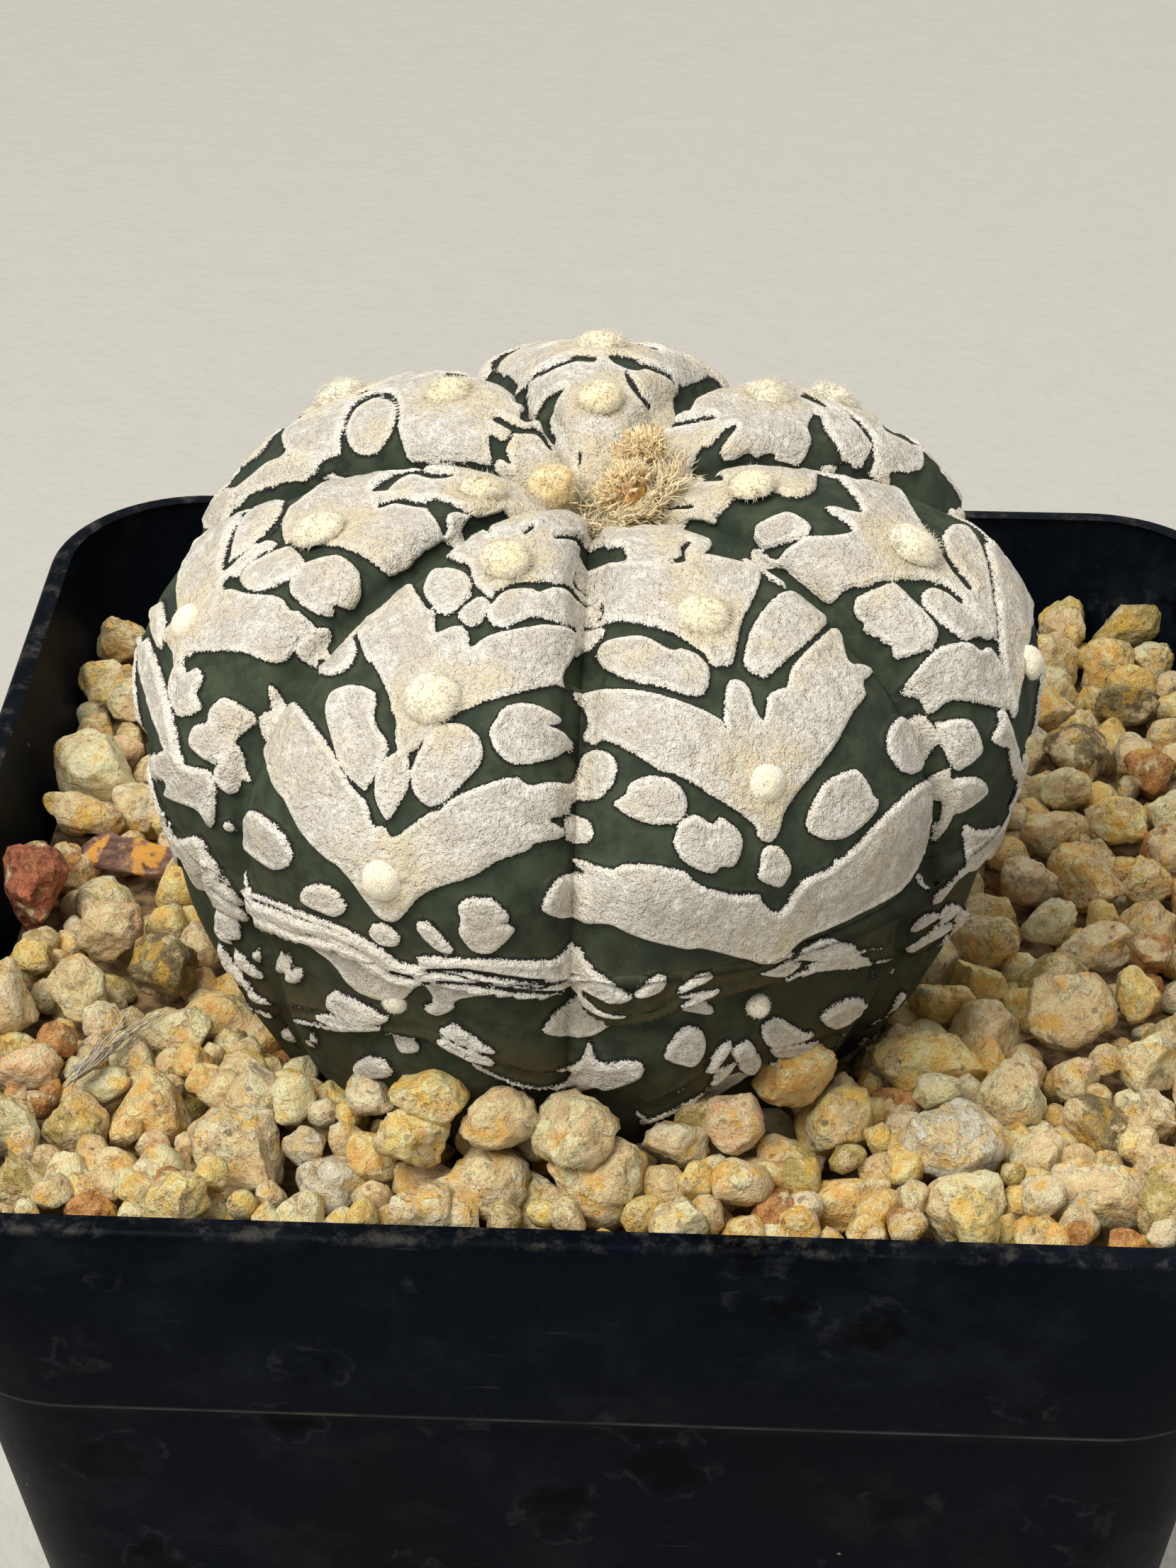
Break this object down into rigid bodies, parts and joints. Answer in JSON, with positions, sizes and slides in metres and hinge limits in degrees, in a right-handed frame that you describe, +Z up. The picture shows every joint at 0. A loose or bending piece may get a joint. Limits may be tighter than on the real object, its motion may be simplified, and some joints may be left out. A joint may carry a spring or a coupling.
{
  "type": "potted star cactus",
  "caption": "Ribbed star cactus with felted white markings and woolly areoles, standing in coarse gravel in a square tapered nursery pot.",
  "frame": {"origin": "middle of the pot's foot, on the surface it stands on", "axes": "+Z up, -Y towards the front of the pot, +X towards its right seen from the front"},
  "size_m": [0.075, 0.075, 0.0959],
  "materials": {
    "pot_plastic": "semi-matte moulded black, lightly scuffed",
    "soil": "dark, crumbly",
    "gravel": "mixed quartz and feldspar grains, slightly glossy",
    "stem_skin": "matte grey-green skin with off-white felted markings",
    "areole_wool": "short cream wool",
    "crown_wool": "cream wool",
    "dried_flower": "dry tan bristles",
    "bark": "rough dark bark",
    "cinder": "porous red-orange cinder",
    "stone_gold": "golden quartz, slightly glossy",
    "stone_pale": "cream to white, speckled with dark grains",
    "stone_dark": "ochre to moss-brown, rough",
    "stone_grey": "grey to buff, granular"
  },
  "bodies": {
    "root": {"pot_square": "pot_plastic", "potting_soil": "soil", "gravel_bed": "gravel", "cactus_stem": "stem_skin", "areole_rib1_1": "areole_wool", "areole_rib1_2": "areole_wool", "areole_rib1_3": "areole_wool", "areole_rib1_4": "areole_wool", "areole_rib2_1": "areole_wool", "areole_rib2_2": "areole_wool", "areole_rib2_3": "areole_wool", "areole_rib2_4": "areole_wool", "areole_rib3_1": "areole_wool", "areole_rib3_2": "areole_wool", "areole_rib3_3": "areole_wool", "areole_rib3_4": "areole_wool", "areole_rib4_1": "areole_wool", "areole_rib4_2": "areole_wool", "areole_rib4_3": "areole_wool", "areole_rib4_4": "areole_wool", "areole_rib5_1": "areole_wool", "areole_rib5_2": "areole_wool", "areole_rib5_3": "areole_wool", "areole_rib5_4": "areole_wool", "areole_rib6_1": "areole_wool", "areole_rib6_2": "areole_wool", "areole_rib6_3": "areole_wool", "areole_rib6_4": "areole_wool", "areole_rib7_1": "areole_wool", "areole_rib7_2": "areole_wool", "areole_rib7_3": "areole_wool", "areole_rib7_4": "areole_wool", "areole_young": "areole_wool", "crown_wool": "crown_wool", "dried_flower_back": "dried_flower", "dried_flower_front": "dried_flower", "stone_cinder_red": "cinder", "stone_block_pale": "stone_pale", "stone_peach": "stone_gold", "stone_cream": "stone_pale", "stone_ochre": "stone_dark", "stone_smoky_left": "stone_grey", "stone_yellow_oval": "stone_gold", "stone_amber_tall": "stone_gold", "stone_gold_left": "stone_gold", "stone_banded": "stone_grey", "stone_speckled_left": "stone_pale", "stone_gold_perched": "stone_gold", "stone_grey_gold": "stone_grey", "stone_cream_brown": "stone_pale", "stone_long_pink": "stone_pale", "stone_gold_right": "stone_gold", "stone_gold_long": "stone_gold", "stone_white_round": "stone_pale", "stone_grey_wedge": "stone_grey", "stone_moss_dark": "stone_dark", "stone_grey_flat": "stone_grey", "stone_olive_back": "stone_dark", "bark_scrap": "bark"}
  },
  "joints": []
}
